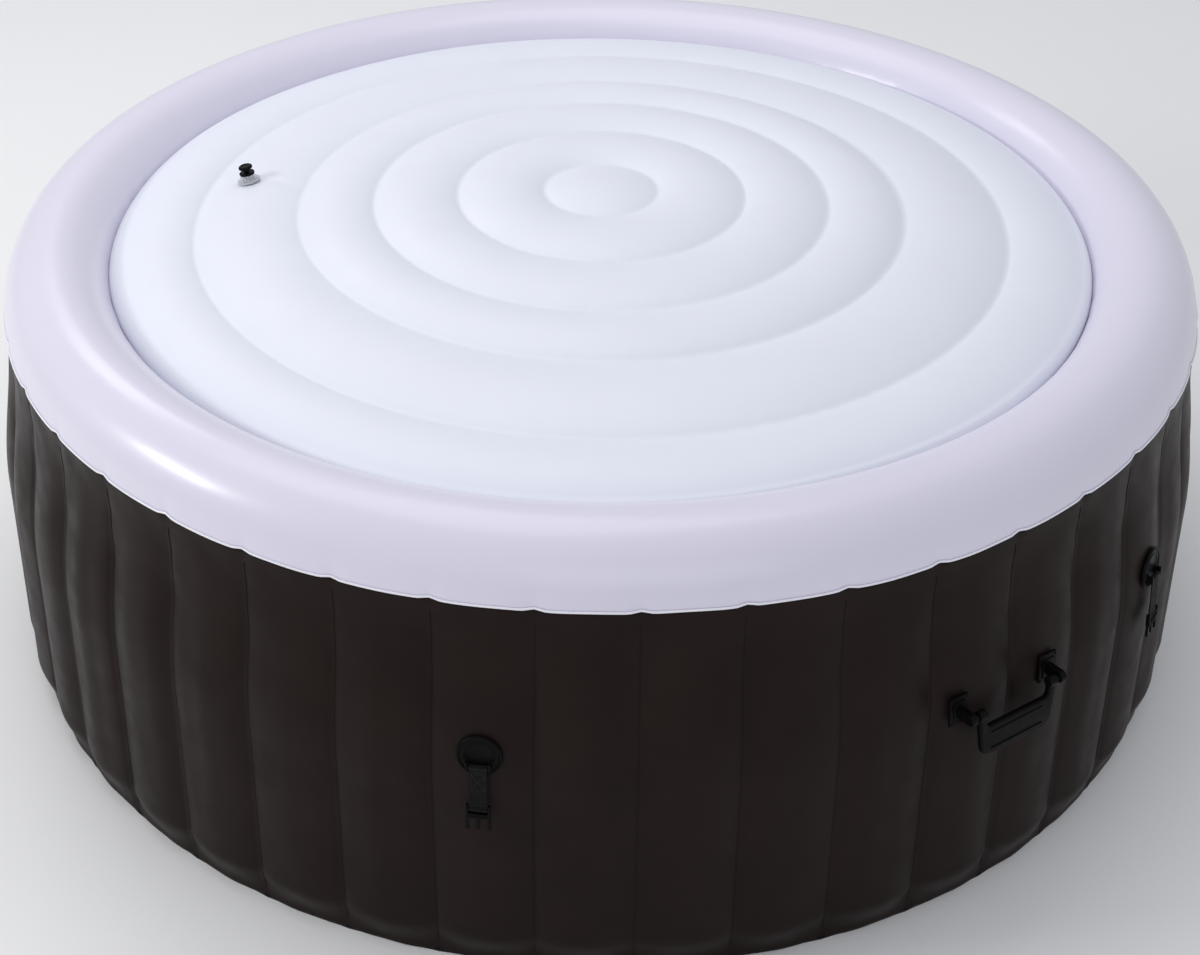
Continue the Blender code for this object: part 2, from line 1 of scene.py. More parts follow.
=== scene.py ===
"""The looks of the inflatable hot tub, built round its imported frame. Metres, +Z up.
Angles run anticlockwise from -Y, so a place is (radius sin angle, -radius cos angle, z)."""
import json
import math

import bmesh
import bpy
import numpy as np
from mathutils import Matrix, Vector


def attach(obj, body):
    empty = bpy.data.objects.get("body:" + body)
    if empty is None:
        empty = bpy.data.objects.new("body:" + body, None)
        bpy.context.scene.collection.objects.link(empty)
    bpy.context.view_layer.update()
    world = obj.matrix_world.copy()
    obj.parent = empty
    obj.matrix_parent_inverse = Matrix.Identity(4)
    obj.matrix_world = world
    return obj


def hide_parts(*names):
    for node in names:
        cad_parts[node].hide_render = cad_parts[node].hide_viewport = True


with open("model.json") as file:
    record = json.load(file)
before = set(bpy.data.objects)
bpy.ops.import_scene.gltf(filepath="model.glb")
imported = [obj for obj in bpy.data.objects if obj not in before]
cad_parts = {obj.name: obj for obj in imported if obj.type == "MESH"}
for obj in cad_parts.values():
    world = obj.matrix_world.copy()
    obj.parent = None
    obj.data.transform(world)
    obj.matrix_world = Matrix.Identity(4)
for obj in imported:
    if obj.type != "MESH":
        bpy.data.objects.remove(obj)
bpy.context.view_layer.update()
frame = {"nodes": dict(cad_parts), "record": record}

# The part's own sizes
WALL_RADIUS = 0.900
SEAM_RADIUS, SEAM_Z = 0.871, 0.563
RING_HALF_WIDTH, RING_RISE = 0.0768, 0.087
RING_CENTRE = SEAM_RADIUS - RING_HALF_WIDTH
BASIN_RADIUS = 0.703
COVER_RADIUS, COVER_EDGE_Z, COVER_DOME, COVER_UNDER_Z = 0.7215, 0.6026, 0.067, 0.572
COVER_GROOVES = (0.0844, 0.2119, 0.3350, 0.4461, 0.5977)
COVER_ROLL = 0.0125
CHANNELS = 44
PITCH = math.tau / CHANNELS
FIRST_GROOVE = PITCH / 2
SKIN = 0.0012

BUCKLE_STATIONS = (-1.5, 6.5, 20.5, 28.5)
HANDLE_STATIONS = (3.85, 25.85)
PORT_STATION, AIR_VALVE_STATION = 21.5, 19.5
STRAP_Z = 0.345
VALVE_RADIUS, VALVE_ANGLE = 0.537, math.radians(-96.5)

COLUMNS_PER_CHANNEL = 20
COLUMNS = CHANNELS * COLUMNS_PER_CHANNEL


# ---------------------------------------------------------------- materials
def new_material(name, colour, roughness, **values):
    """A Principled material; values are the shader's own sockets, named with underscores for spaces."""
    made = bpy.data.materials.new(name)
    made.use_nodes = True
    shader = made.node_tree.nodes["Principled BSDF"]
    shader.inputs["Base Color"].default_value = (*colour, 1)
    shader.inputs["Roughness"].default_value = roughness
    for socket, value in values.items():
        shader.inputs[socket.replace("_", " ")].default_value = value
    made.diffuse_color = (*colour, 1)
    return made, made.node_tree, shader


def add_node(tree, kind, **settings):
    node = tree.nodes.new(kind)
    for name, value in settings.items():
        if name in node.inputs:
            node.inputs[name].default_value = value
        else:
            setattr(node, name, value)
    return node


def noise_node(tree, coords, scale, detail=4.0):
    node = add_node(tree, "ShaderNodeTexNoise", Scale=scale, Detail=detail)
    tree.links.new(coords, node.inputs["Vector"])
    return node.outputs["Fac"]


def spread(tree, source, low, high):
    """Maps a noise's middle range to low..high."""
    node = add_node(tree, "ShaderNodeMapRange")
    for name, value in (("From Min", 0.3), ("From Max", 0.7), ("To Min", low), ("To Max", high)):
        node.inputs[name].default_value = value
    tree.links.new(source, node.inputs["Value"])
    return node.outputs["Result"]


def tint(tree, shader, source, colour, change):
    """Varies the base colour by a share of itself, from a noise."""
    mix = add_node(tree, "ShaderNodeMix", data_type="RGBA")
    low = [max(0.0, c * (1 - change)) for c in colour]
    high = [min(1.0, c * (1 + change)) for c in colour]
    mix.inputs["A"].default_value = (*low, 1)
    mix.inputs["B"].default_value = (*high, 1)
    tree.links.new(spread(tree, source, 0, 1), mix.inputs["Factor"])
    tree.links.new(mix.outputs["Result"], shader.inputs["Base Color"])
    return mix


def bumps(tree, shader, layers):
    """Chains bump nodes; each layer is a height source, its strength and its distance in metres."""
    previous = None
    for source, strength, distance in layers:
        bump = add_node(tree, "ShaderNodeBump", Strength=strength, Distance=distance)
        tree.links.new(source, bump.inputs["Height"])
        if previous:
            tree.links.new(previous, bump.inputs["Normal"])
        previous = bump.outputs["Normal"]
    tree.links.new(previous, shader.inputs["Normal"])


def sheet_pvc(
    name, colour, roughness, grain=1400, grain_height=0.00004, change=0.05, dents=0.0006, rub=1.0, **values
):
    """Calendered PVC sheet: fine grain, faint cloudy colour, and patches rubbed smoother or duller."""
    made, tree, shader = new_material(name, colour, roughness, **values)
    coords = add_node(tree, "ShaderNodeTexCoord").outputs["Object"]
    tint(tree, shader, noise_node(tree, coords, 9, 5), colour, change)
    rubbed = spread(tree, noise_node(tree, coords, 26, 6), roughness - 0.05 * rub, roughness + 0.07 * rub)
    tree.links.new(rubbed, shader.inputs["Roughness"])
    fine = noise_node(tree, coords, grain, 2)
    soft = noise_node(tree, coords, 14, 2)
    bumps(tree, shader, [(soft, 0.35, dents), (fine, 0.5, grain_height)])
    return made


def moulded(name, colour, roughness, change=0.10, **values):
    """Moulded plastic: spark-eroded grain, edges worn a little paler, and patches rubbed smoother or duller.
    """
    made, tree, shader = new_material(name, colour, roughness, **values)
    coords = add_node(tree, "ShaderNodeTexCoord").outputs["Object"]
    mix = tint(tree, shader, noise_node(tree, coords, 45, 4), colour, change)
    worn = add_node(tree, "ShaderNodeMix", data_type="RGBA")
    worn.inputs["B"].default_value = (*[min(1.0, c * 1.5 + 0.002) for c in colour], 1)
    edge = add_node(tree, "ShaderNodeMapRange")
    for socket, value in (("From Min", 0.53), ("From Max", 0.62), ("To Min", 0), ("To Max", 0.5)):
        edge.inputs[socket].default_value = value
    pointed = add_node(tree, "ShaderNodeNewGeometry").outputs["Pointiness"]
    tree.links.new(pointed, edge.inputs["Value"])
    tree.links.new(edge.outputs["Result"], worn.inputs["Factor"])
    tree.links.new(mix.outputs["Result"], worn.inputs["A"])
    tree.links.new(worn.outputs["Result"], shader.inputs["Base Color"])
    rubbed = spread(tree, noise_node(tree, coords, 90, 5), roughness - 0.07, roughness + 0.10)
    tree.links.new(rubbed, shader.inputs["Roughness"])
    bumps(tree, shader, [(noise_node(tree, coords, 2200, 2), 0.45, 0.00003)])
    return made


def woven(name, colour):
    """Polyester webbing: ribs across the strap and warp ends along it, with a dull fibre sheen."""
    looks = {"Sheen_Weight": 0.05, "Sheen_Roughness": 0.5, "Specular_IOR_Level": 0.1}
    made, tree, shader = new_material(name, colour, 0.72, **looks)
    coords = add_node(tree, "ShaderNodeTexCoord").outputs["Object"]
    tint(tree, shader, noise_node(tree, coords, 160, 4), colour, 0.35)
    heights = []
    for direction, scale in (("Y", 210.0), ("X", 130.0)):
        wave = add_node(tree, "ShaderNodeTexWave", bands_direction=direction, Scale=scale, Distortion=0.4)
        tree.links.new(coords, wave.inputs["Vector"])
        heights.append(wave.outputs["Fac"])
    rubbed = spread(tree, noise_node(tree, coords, 120, 4), 0.62, 0.85)
    tree.links.new(rubbed, shader.inputs["Roughness"])
    bumps(tree, shader, [(heights[0], 0.8, 0.00022), (heights[1], 0.7, 0.00016)])
    return made


WALL = sheet_pvc(
    "wall_sheet", (0.0158, 0.0110, 0.0100), 0.42, change=0.12,
    Specular_IOR_Level=0.075, Specular_Tint=(1.0, 0.80, 0.72, 1),
)
RING = sheet_pvc(
    "ring_sheet", (0.74, 0.715, 0.835), 0.32, grain_height=0.00001, change=0.006, dents=0.0001, rub=0.2,
    Coat_Weight=0.35, Coat_Roughness=0.20, Specular_IOR_Level=0.45,
)
COVER = sheet_pvc(
    "cover_sheet", (0.80, 0.82, 0.905), 0.42, grain_height=0.00003, change=0.008, dents=0.0003,
    Specular_IOR_Level=0.35,
)
LINER = sheet_pvc("liner_sheet", (0.72, 0.71, 0.79), 0.36, grain=900, grain_height=0.00006, change=0.02)
BASE = sheet_pvc("ground_sheet", (0.024, 0.024, 0.027), 0.62, grain=700, grain_height=0.0001, change=0.2)
WEB = sheet_pvc("web_sheet", (0.58, 0.59, 0.62), 0.5, grain=600, grain_height=0.0001, change=0.05)
WELD = sheet_pvc("weld_lip", (0.86, 0.86, 0.93), 0.30, change=0.02, Coat_Weight=0.2)
BLACK = moulded("black_moulding", (0.0030, 0.0030, 0.0032), 0.38, Specular_IOR_Level=0.07)
GREY = moulded("grey_moulding", (0.30, 0.31, 0.34), 0.45)
RUBBER = moulded("seal_rubber", (0.030, 0.030, 0.032), 0.70)
WEBBING = woven("webbing_weave", (0.0046, 0.0042, 0.0042))
THREAD = moulded("stitch_thread", (0.016, 0.016, 0.017), 0.6)
CLEAR = sheet_pvc(
    "clear_pvc", (0.80, 0.83, 0.86), 0.16, change=0.02, Transmission_Weight=0.55, IOR=1.45
)


# ---------------------------------------------------------------- shapes
def between(value, pairs):
    """Reads a smooth curve through (position, value) pairs, for an array of positions."""
    value = np.asarray(value, dtype=float)
    result = np.full(value.shape, float(pairs[0][1]))
    for (x0, y0), (x1, y1) in zip(pairs, pairs[1:]):
        share = np.clip((value - x0) / (x1 - x0), 0, 1)
        step = y0 + (y1 - y0) * (1 - np.cos(math.pi * share)) / 2
        result = np.where(value >= x0, step, result)
    return result


def crest_radius(z):
    low, high = WALL_RADIUS, WALL_RADIUS - 0.001
    return between(z, [(0, WALL_RADIUS - 0.020), (0.06, low), (0.30, high), (SEAM_Z, SEAM_RADIUS)])


def ripple(angle, seed, lowest, highest, count=7):
    """A closed, repeatable unevenness round the tub, from -1 to 1, made of a few waves."""
    chance = np.random.default_rng(seed)
    total = np.zeros(np.shape(angle))
    for _ in range(count):
        waves = chance.integers(lowest, highest + 1)
        total = total + np.sin(waves * angle + chance.uniform(0, math.tau))
    return total / count ** 0.5 / 1.6


def channel_phase(angle):
    """Where an angle lies in its channel, 0 at a groove and 1 at the next, and the channel's number."""
    along = (angle - FIRST_GROOVE) / PITCH
    return along % 1, np.floor(along + 1e-9).astype(int) % CHANNELS


def per_channel(seed, low, high):
    return np.random.default_rng(seed).uniform(low, high, CHANNELS)


def seam(angle):
    """The seam between wall and ring: pulled in and up a little where a groove meets it."""
    phase, _ = channel_phase(angle)
    pull = np.exp(-((phase - np.round(phase)) / 0.07) ** 2)
    sway = 0.0008 * ripple(angle, 3, 9, 60)
    radius = SEAM_RADIUS - 0.0016 * pull + 0.0010 * np.sin(math.pi * phase)
    return radius, SEAM_Z + 0.0022 * pull - 0.0006 + sway


def finish_piece(obj, material, body, nodes=(), smooth=True):
    obj.data.materials.append(material)
    if smooth and obj.type == "MESH":
        obj.data.shade_smooth()
    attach(obj, body)
    if nodes:
        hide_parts(*nodes)
    return obj


def mesh_object(name, verts, faces):
    mesh = bpy.data.meshes.new(name)
    mesh.from_pydata(verts, [], faces)
    mesh.update()
    obj = bpy.data.objects.new(name, mesh)
    bpy.context.scene.collection.objects.link(obj)
    return obj


def wrapped(name, columns, shares, place, caps=(False, False), closed=False):
    """A grid wrapped round Z. place(angle, share) gives radius and z; shares run up the outer side."""
    angles = FIRST_GROOVE + math.tau * np.arange(columns) / columns
    angle, share = np.meshgrid(angles, shares, indexing="ij")
    radius, z = place(angle, share)
    verts = np.stack([radius * np.sin(angle), -radius * np.cos(angle), z], axis=-1).reshape(-1, 3)
    rows = len(shares)
    faces = []
    for i in range(columns):
        here, after = i * rows, (i + 1) % columns * rows
        faces += [(here + j, after + j, after + j + 1, here + j + 1) for j in range(rows - 1)]
        if closed:
            faces.append((here + rows - 1, after + rows - 1, after, here))
    if caps[0]:
        faces.append([i * rows for i in reversed(range(columns))])
    if caps[1]:
        faces.append([i * rows + rows - 1 for i in range(columns)])
    return mesh_object(name, verts.tolist(), faces)


def thicken(obj, thickness, offset=-1):
    skin = obj.modifiers.new("skin", "SOLIDIFY")
    skin.thickness = thickness
    skin.offset = offset


# ---------------------------------------------------------------- air chambers
WALL_FOOT = 0.0022


def wall_surface(angle, height):
    """The blown-up wall: full round channels between sharp welded grooves, creased a little at both ends."""
    phase, number = channel_phase(angle)
    seam_radius, seam_z = seam(angle)
    z = WALL_FOOT + (seam_z - 0.0004 - WALL_FOOT) * height
    fatness = per_channel(11, 0.88, 1.06)[number]
    lean = per_channel(12, -0.06, 0.06)[number]
    leaned = np.clip(phase + lean * np.sin(math.pi * phase), 0, 1)
    puff = np.sin(math.pi * leaned) ** 0.72
    pairs = [(0, 0.0030), (0.045, 0.0120), (0.43, 0.0125), (0.50, 0.0060), (0.54, 0.0022), (SEAM_Z, 0.0)]
    depth = between(z, pairs)
    crest = crest_radius(z) - 0.0006
    crest = crest + 0.0065 * np.clip(1 - z / 0.06, 0, 1)
    shape = crest - depth * fatness * (1 - puff)
    creases = np.sin(math.tau * (1.5 * phase + 0.37 * number) + 40 * z) * (1 - np.abs(2 * phase - 1))
    near_ends = np.exp(-((SEAM_Z - z) / 0.045) ** 2) + 0.8 * np.exp(-(z / 0.035) ** 2)
    shape = shape + 0.0009 * creases * near_ends
    shape = shape + 0.0008 * ripple(angle, 5, 20, 160) * np.sin(math.pi * height)
    to_seam = np.clip((height - 0.93) / 0.07, 0, 1) ** 2
    return shape * (1 - to_seam) + (seam_radius - 0.0004) * to_seam, z


def build_wall():
    rows = 64
    heights = [(1 - math.cos(math.pi * (i / rows))) / 2 * 0.5 + i / rows * 0.5 for i in range(rows + 1)]
    wall = wrapped("wall_skin", COLUMNS, heights, wall_surface)
    thicken(wall, SKIN)
    finish_piece(wall, WALL, "tub", ["outer_wall"])


def build_groove_welds():
    """The welded line down each groove: a narrow flat band, pressed into the sheet."""
    verts, faces = [], []
    rows = 40
    heights = np.linspace(0.03, 0.965, rows)
    for number in range(CHANNELS):
        centre = FIRST_GROOVE + number * PITCH
        middle, z = wall_surface(np.full(rows, centre), heights)
        first = len(verts)
        halves = 0.0011 * np.clip(np.minimum(heights - 0.02, 0.97 - heights) * 5, 0.05, 1)
        for radius, level, half in zip(middle + 0.0007, z, halves):
            for side in (-1, 1):
                angle = centre + side * half / radius
                verts.append((radius * math.sin(angle), -radius * math.cos(angle), level))
        faces += [
            (first + 2 * j, first + 2 * j + 1, first + 2 * j + 3, first + 2 * j + 2) for j in range(rows - 1)
        ]
    welds = mesh_object("groove_welds", verts, faces)
    thicken(welds, 0.0006)
    finish_piece(welds, WALL, "tub")


def ring_surface(angle, share):
    """The smooth top ring, from the outer seam over the top to the inner one."""
    turn = math.pi * share
    phase, _ = channel_phase(angle)
    seam_radius, seam_z = seam(angle)
    pull = np.exp(-((phase - np.round(phase)) / 0.10) ** 2)
    swell = 1 + 0.010 * ripple(angle, 21, 2, 7) * np.sin(turn)
    radius = RING_CENTRE + RING_HALF_WIDTH * np.cos(turn) * swell
    z = SEAM_Z + (RING_RISE - 0.0012) * np.sin(turn) * swell
    at_seam = np.exp(-(turn / 0.20) ** 2)
    radius = radius + (seam_radius - SEAM_RADIUS) * at_seam
    z = z + (seam_z - SEAM_Z) * at_seam
    pucker = np.exp(-(turn / 0.33) ** 2) * np.sin(turn / 0.33 * 1.2)
    radius = radius - 0.0011 * pull * pucker
    inner = np.exp(-((math.pi - turn) / 0.5) ** 2)
    radius = radius + 0.0009 * ripple(angle, 23, 40, 110) * inner
    return radius, z


def build_ring():
    rows = 56
    ring = wrapped("ring_skin", COLUMNS, [i / rows for i in range(rows + 1)], ring_surface)
    thicken(ring, SKIN)
    finish_piece(ring, RING, "tub", ["top_ring"])
    bead, steps = 0.0013, 8

    def lip(angle, share):
        radius, z = seam(angle)
        turn = math.tau * share
        return radius + 0.0008 + bead * np.cos(turn), z + 0.0016 + 1.3 * bead * np.sin(turn)

    shares = [i / steps for i in range(steps)]
    weld = wrapped("seam_weld_lip", COLUMNS, shares, lip, closed=True)
    finish_piece(weld, WELD, "tub")


def liner_surface(angle, height):
    """The basin's inner wall: shallow channels that bulge in between the same welds."""
    phase, _ = channel_phase(angle)
    z = 0.0022 + (SEAM_Z - 0.0006 - 0.0022) * height
    top = RING_CENTRE - RING_HALF_WIDTH
    flat = between(z, [(0, BASIN_RADIUS), (0.46, BASIN_RADIUS), (SEAM_Z, top)])
    depth = between(z, [(0, 0.002), (0.05, 0.0060), (0.50, 0.0060), (SEAM_Z, 0.0004)])
    bulge = np.sin(math.pi * phase) ** 0.75
    return flat + 0.0004 - depth * bulge + 0.0004 * ripple(angle, 31, 30, 140), z


def build_liner():
    rows = 40
    heights = [1 - i / rows for i in range(rows + 1)]
    liner = wrapped("liner_skin", CHANNELS * 12, heights, liner_surface)
    thicken(liner, SKIN)
    finish_piece(liner, LINER, "tub", ["inner_wall"])


JETS = 88


def build_bubble_strip():
    """The air strip round the foot of the basin, puffed between its two welds, with a ring of jet holes."""
    outer, inner, low, high = BASIN_RADIUS - 0.0095, BASIN_RADIUS - 0.075, 0.0056, 0.0640

    def surface(angle, share):
        turn = math.pi / 2 * share
        radius = outer - (outer - inner) * np.sin(turn)
        z = low + (high - low) * np.cos(turn)
        return radius, z + 0.0006 * ripple(angle, 41, 30, 90) * np.sin(2 * turn)

    steps = 14
    strip = wrapped("bubble_strip", CHANNELS * 8, [i / steps for i in range(steps + 1)], surface)
    thicken(strip, SKIN)
    finish_piece(strip, LINER, "tub", ["bubble_channel"])
    jets = bmesh.new()
    for number in range(JETS):
        angle = math.tau * (number + 0.5) / JETS
        radius, z = surface(np.array(angle), 0.5)
        place = Matrix.Rotation(angle, 4, "Z") @ Matrix.Translation((0, -float(radius), float(z)))
        place = place @ Matrix.Rotation(math.radians(-42), 4, "X")
        for reach, wide in ((0.0013, 0.0042), (0.0018, 0.0030)):
            bmesh.ops.create_cone(
                jets, cap_ends=True, segments=16, radius1=wide, radius2=wide * 0.8, depth=0.002,
                matrix=place @ Matrix.Translation((0, 0, reach)),
            )
    mesh = bpy.data.meshes.new("bubble_jets")
    jets.to_mesh(mesh)
    jets.free()
    obj = bpy.data.objects.new("bubble_jets", mesh)
    bpy.context.scene.collection.objects.link(obj)
    finish_piece(obj, GREY, "tub", smooth=False)


# ---------------------------------------------------------------- cover
def cover_height(radius):
    """The cover's dome with a full roll between one groove and the next."""
    dome = COVER_EDGE_Z + COVER_DOME * (1 - (radius / COVER_RADIUS) ** 2)
    edges = (-COVER_GROOVES[0], *COVER_GROOVES, COVER_RADIUS)
    roll = np.zeros(np.shape(radius))
    for inner, outer in zip(edges, edges[1:]):
        across = (radius - inner) / (outer - inner)
        inside = (across >= 0) & (across <= 1)
        full = COVER_ROLL * (1 - np.abs(2 * across - 1) ** 2.1)
        roll = np.where(inside, full, roll)
    return dome + roll - 0.0020


def cover_profile():
    """(radius, z) from the middle of the underside, round the edge, to the middle of the top."""
    under = [(r, COVER_UNDER_Z + 0.0012) for r in np.linspace(0.004, 0.690, 14)]
    edge_r, edge_low = COVER_RADIUS - 0.0150, COVER_UNDER_Z + 0.0012
    edge_high = float(cover_height(np.array(edge_r)))
    middle, rise = (edge_low + edge_high) / 2, (edge_high - edge_low) / 2
    around = []
    for i in range(1, 16):
        turn = math.pi * (i / 16 - 0.5)
        around.append((edge_r + 0.0150 * math.cos(turn), middle + rise * math.sin(turn)))
    radii = [edge_r * (1 - i / 170) for i in range(170)] + [0.004]
    top = [(r, float(cover_height(np.array(r)))) for r in radii]
    return under + [(edge_r, edge_low)] + around + top, len(under) + 1 + len(around)


def build_cover():
    profile, first_top = cover_profile()
    line = np.array(profile)
    rows = len(profile)

    def surface(angle, share):
        index = np.round(share * (rows - 1)).astype(int)
        radius, z = line[index, 0], line[index, 1]
        on_top = index >= first_top
        lift = np.zeros(radius.shape)
        for number, groove in enumerate(COVER_GROOVES):
            near = np.exp(-((radius - groove) / 0.016) ** 2)
            waves = int(groove * 160)
            lift += 0.0012 * groove * near * ripple(angle, 50 + number, waves, waves * 3)
            lift -= 0.0009 * np.exp(-((radius - groove) / 0.0060) ** 2)
        lift += 0.0012 * ripple(angle, 61, 2, 6) * np.clip(radius / COVER_RADIUS, 0, 1)
        valve = Vector((math.sin(VALVE_ANGLE), -math.cos(VALVE_ANGLE))) * VALVE_RADIUS
        across = radius * np.sin(angle) - valve.x
        along = -radius * np.cos(angle) - valve.y
        away = np.sqrt(across ** 2 + along ** 2)
        lift -= 0.0035 * np.exp(-(away / 0.024) ** 2)
        crease = np.exp(-((along + 0.22 * across) / 0.006) ** 2) * np.exp(-((across - 0.045) / 0.032) ** 2)
        lift -= 0.0032 * crease
        swell = 1 + np.where(on_top, 0, 0.0010) * ripple(angle, 63, 3, 14)
        return radius * swell, z + np.where(on_top, lift, 0)

    cover = wrapped("cover_skin", 352, [i / (rows - 1) for i in range(rows)], surface, caps=(True, True))
    finish_piece(cover, COVER, "cover", ["cover_bladder"])


# ---------------------------------------------------------------- fittings
def crest_at(height):
    return float(crest_radius(np.array(height)))


def station(channels_along, height, out=0.0, tilted=True):
    """A frame on the wall: X along it, Y up it and Z out of it, raised by out."""
    slope = math.atan2(crest_at(height - 0.05) - crest_at(height + 0.05), 0.1) if tilted else 0.0
    turn = Matrix.Rotation(FIRST_GROOVE + channels_along * PITCH, 4, "Z")
    place = turn @ Matrix.Translation((0, -crest_at(height), height))
    return place @ Matrix.Rotation(math.pi / 2 - slope, 4, "X") @ Matrix.Translation((0, 0, out))


def add_box(bm, low, high, bevel=0.0006):
    low, high = Vector(low), Vector(high)
    place = Matrix.Translation((low + high) / 2) @ Matrix.Diagonal((*(high - low), 1))
    verts = bmesh.ops.create_cube(bm, size=1, matrix=place)["verts"]
    edges = list({edge for vert in verts for edge in vert.link_edges})
    bmesh.ops.bevel(bm, geom=edges, offset=bevel, segments=3, profile=0.6, affect="EDGES")


def eased(profile, amount, closed):
    """Cuts each corner of a profile back into two points, so that a turned edge catches the light."""
    points = [Vector(p) for p in profile]
    count = len(points)
    result = []
    for i, point in enumerate(points):
        if not closed and i in (0, count - 1):
            result.append(point)
            continue
        for other in (points[i - 1], points[(i + 1) % count]):
            leg = other - point
            result.append(point + leg.normalized() * min(amount, leg.length * 0.4))
    return result


def merge(bm, other, place=None):
    """Cleans a piece's mesh and adds it to bm, moved by place."""
    bmesh.ops.remove_doubles(other, verts=other.verts, dist=0.00001)
    bmesh.ops.recalc_face_normals(other, faces=other.faces)
    if place:
        bmesh.ops.transform(other, matrix=place, verts=other.verts)
    mesh = bpy.data.meshes.new("part")
    other.to_mesh(mesh)
    other.free()
    bm.from_mesh(mesh)
    bpy.data.meshes.remove(mesh)


def add_turned(bm, profile, closed=True, segments=48, ease=0.0004, place=None):
    """Turns (radius, z) points about Z; closed joins the last to the first."""
    points = eased(profile, ease, closed)
    other = bmesh.new()
    line = [other.verts.new((p.x, 0, p.y)) for p in points]
    pairs = list(zip(line, line[1:])) + ([(line[-1], line[0])] if closed else [])
    edges = [other.edges.new(pair) for pair in pairs]
    axis = (0, 0, 1)
    bmesh.ops.spin(other, geom=line + edges, cent=(0, 0, 0), axis=axis, angle=math.tau, steps=segments)
    merge(bm, other, place)


def add_rod(bm, radius, start, end, ease=0.0005):
    """A round rod between two points."""
    start, end = Vector(start), Vector(end)
    length = (end - start).length
    turn = (end - start).to_track_quat("Z", "Y").to_matrix().to_4x4()
    profile = [(0, length), (radius, length), (radius, 0), (0, 0)]
    add_turned(bm, profile, closed=False, segments=24, ease=ease, place=Matrix.Translation(start) @ turn)


def add_sweep(bm, path, section):
    """Sweeps section(share), (side, out) points, along a path in XY; out is Z. The ends are closed."""
    other = bmesh.new()
    loops = []
    for i, point in enumerate(path):
        ahead = path[min(i + 1, len(path) - 1)] - path[max(i - 1, 0)]
        side = Vector((ahead.y, -ahead.x)).normalized()
        outline = section(i / (len(path) - 1))
        loops.append([other.verts.new((*(point + side * across), out)) for across, out in outline])
    count = len(loops[0])
    for near, far in zip(loops, loops[1:]):
        for k in range(count):
            other.faces.new((near[k], near[(k + 1) % count], far[(k + 1) % count], far[k]))
    other.faces.new(list(reversed(loops[0])))
    other.faces.new(loops[-1])
    merge(bm, other)


def fitting(name, build, material, body, place, nodes=(), sharp=32):
    """Makes one piece from what build(bm) adds, set at place on the wall or cover."""
    bm = bmesh.new()
    build(bm)
    mesh = bpy.data.meshes.new(name)
    bm.to_mesh(mesh)
    bm.free()
    mesh.shade_smooth()
    mesh.set_sharp_from_angle(angle=math.radians(sharp))
    obj = bpy.data.objects.new(name, mesh)
    bpy.context.scene.collection.objects.link(obj)
    obj.matrix_world = place
    return finish_piece(obj, material, body, nodes, smooth=False)


# Straps
BAR_OUT, BAR_RADIUS, STRAP_DROP, WEBBING_WIDTH = 0.0085, 0.0017, 0.062, 0.022


def patch_shape(bm):
    """A round welded patch with a raised rim and a second ring inside it, two lugs and a bar."""
    disc = [(0, 0.0026), (0.0180, 0.0026), (0.0190, 0.0036), (0.0204, 0.0036), (0.0214, 0.0026)]
    disc += [(0.0250, 0.0026), (0.0262, 0.0040), (0.0280, 0.0038)]
    disc += [(0.0292, 0.0012), (0.0292, 0.0002), (0, 0.0002)]
    add_turned(bm, disc, closed=False, ease=0.0003, place=Matrix.Translation((0, 0.012, 0)))
    for side in (-1, 1):
        centre = side * (WEBBING_WIDTH / 2 + 0.0035)
        add_box(bm, (centre - 0.0016, -0.0042, 0.0012), (centre + 0.0016, 0.0070, BAR_OUT + 0.0032), 0.0010)
        add_box(bm, (centre - 0.0032, -0.0060, 0.0018), (centre + 0.0032, 0.0090, 0.0042), 0.0010)
    add_rod(bm, BAR_RADIUS, (-0.0155, 0, BAR_OUT), (0.0155, 0, BAR_OUT))


def webbing_shape(bm):
    """Two plies of webbing sewn flat together between an eye round the bar and one round the buckle."""
    half, thick = WEBBING_WIDTH / 2, 0.0006
    eye = BAR_RADIUS + 0.0014
    other = bmesh.new()
    across = [-half + WEBBING_WIDTH * i / 10 for i in range(11)]
    for face in (1, -1):
        line = []
        for i in range(13):
            turn = math.pi * i / 12
            line.append((eye * math.sin(turn), eye * math.cos(turn)))
        line = [(y, z) for y, z in line if z * face >= -0.0001]
        ends = [(-y - STRAP_DROP, z) for y, z in line]
        middle = [(-0.0030, 0.0010), (-0.0060, 0.0007), (-0.0300, 0.0007)]
        middle += [(-0.0560, 0.0007), (-0.0590, 0.0010)]
        side = sorted(line + ends + [(y, z * face) for y, z in middle], reverse=True)
        rows = [[other.verts.new((x, y, z)) for x in across] for y, z in side]
        for near, far in zip(rows, rows[1:]):
            for k in range(len(across) - 1):
                other.faces.new((near[k], near[k + 1], far[k + 1], far[k]))
    bmesh.ops.remove_doubles(other, verts=other.verts, dist=0.0002)
    bmesh.ops.recalc_face_normals(other, faces=other.faces)
    bmesh.ops.solidify(other, geom=other.faces, thickness=thick)
    merge(bm, other)


